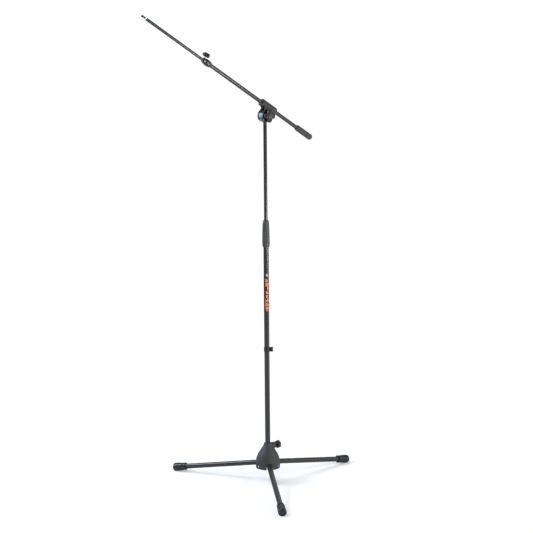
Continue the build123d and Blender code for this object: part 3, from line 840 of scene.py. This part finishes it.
def softbox(name, position, aim, size, power, colour):
    """Rectangular panel of light at a position, turned to its aim."""
    light = bpy.data.lights.new(name, "AREA")
    light.shape = "RECTANGLE"
    light.size, light.size_y = size
    light.energy = power
    light.color = colour
    obj = bpy.data.objects.new(name, light)
    obj.location = position
    obj.visible_camera = False
    obj.rotation_euler = (Vector(aim) - Vector(position)).to_track_quat("-Z", "Y").to_euler()
    bpy.context.scene.collection.objects.link(obj)
    return obj


# Camera: azimuth round the stand's axis, distance and height, downward pitch, roll, sideways
# shift and lens.
VIEW_AZIMUTH = math.radians(232.66)
VIEW_DISTANCE, VIEW_HEIGHT = 5.723, 1.8806
VIEW_PITCH, VIEW_ROLL = math.radians(9.4479), math.radians(-0.4884)
VIEW_ASIDE = 1.25 * MM
LENS_MM, SENSOR_MM = 94.51, 36.0


def view_axes():
    """Camera position and its forward, right and up directions."""
    position = Vector((math.cos(VIEW_AZIMUTH), math.sin(VIEW_AZIMUTH), 0)) * VIEW_DISTANCE
    position.z = VIEW_HEIGHT
    flat = Vector((-math.cos(VIEW_AZIMUTH), -math.sin(VIEW_AZIMUTH), 0))
    forward = flat * math.cos(VIEW_PITCH) - UP * math.sin(VIEW_PITCH)
    right = flat.cross(UP)
    up = right.cross(forward)
    position += right * VIEW_ASIDE
    tilted_right = right * math.cos(VIEW_ROLL) + up * math.sin(VIEW_ROLL)
    tilted_up = up * math.cos(VIEW_ROLL) - right * math.sin(VIEW_ROLL)
    return position, forward, tilted_right, tilted_up


def make_camera():
    """The scene's camera, with its whole frame in focus."""
    camera = bpy.data.cameras.new("view")
    camera.lens = LENS_MM
    camera.sensor_width = SENSOR_MM
    camera.dof.use_dof = False
    position, forward, right, up = view_axes()
    obj = bpy.data.objects.new("view", camera)
    m = Matrix((right, up, -forward)).transposed().to_4x4()
    m.translation = position
    obj.matrix_world = m
    bpy.context.scene.collection.objects.link(obj)
    bpy.context.scene.camera = obj


def make_world():
    """Plain white all round for the camera, and a dimmer dome as light for the stand."""
    world = bpy.data.worlds.new("studio")
    bpy.context.scene.world = world
    world.use_nodes = True
    tree = world.node_tree
    dome = tree.nodes["Background"]
    feed(tree, dome, [("Color", tone(DOME_COLOUR)), ("Strength", DOME_STRENGTH)])
    page = add(tree, "ShaderNodeBackground", [("Color", (1, 1, 1, 1)), ("Strength", PAGE_WHITE)])
    seen = camera_sees(tree, page.outputs[0], dome.outputs[0])
    feed(tree, tree.nodes["World Output"], [("Surface", seen)])
    bpy.context.scene.view_settings.view_transform = "Standard"


def around_view(azimuth, distance, height):
    """Point at an azimuth in degrees, anticlockwise from above, starting at the camera's side."""
    angle = VIEW_AZIMUTH + math.radians(azimuth)
    return Vector((distance * math.cos(angle), distance * math.sin(angle), height))


def make_lights():
    """Eight panels, each with its azimuth, distance and height, aim, size, watts and colour.

    A broad warm key and a panel on the floor stand at the right, a tall blue one and a high
    one at the left, a small one below the boom, and soft ones behind, above and in front.
    """
    warm, legs, head, boom = (1.0, 0.98, 0.95), (0, 0, 0.1), (0, 0, 2.1), (-0.3, 0, 1.75)
    above_floor_panel = around_view(82, 2.3, 1.0)
    for name, where, aim, size, power, colour in (
        ("key", (82, 3.0, 1.5), (0, 0, 1.5), (4.0, 3.0), 40, warm),
        ("blue_side", (-110, 3.0, 2.1), head, (0.7, 3.1), 42, (0.42, 0.68, 1.0)),
        ("floor_glow", (82, 2.3, 0.01), above_floor_panel, (2.4, 2.0), 14, warm),
        ("boom_glow", (46, 1.45, 0.88), boom, (0.36, 0.36), 10, (1.0, 0.98, 0.93)),
        ("left_high", (-90, 2.4, 2.5), legs, (1.4, 1.2), 52, (0.88, 0.94, 1.0)),
        ("back", (180, 3.0, 2.4), (0, 0, 0.6), (3.0, 2.0), 10, (1.0, 1.0, 1.0)),
        ("top", (-150, 1.3, 4.2), (0, 0, 0.4), (2.0, 2.0), 26, (0.98, 0.99, 1.0)),
    ):
        softbox(name, around_view(*where), aim, size, power, colour)
    above_front = around_view(-8, 3.2, 2.9)
    front = softbox("front_high", above_front, (0, 0, 0), (1.2, 1.0), 46, (1.0, 0.99, 0.98))
    front.visible_glossy = False


make_castings()
make_feet()
make_tilt_knob()
make_small_knobs()
make_height_grip()
make_boom_grip()
make_boom_grip_end()
make_tip()
make_tip_ring()
make_lock_ring()
make_lock_boss()
make_label_print()
paint_cad()
make_stage()
make_world()
make_lights()
make_camera()
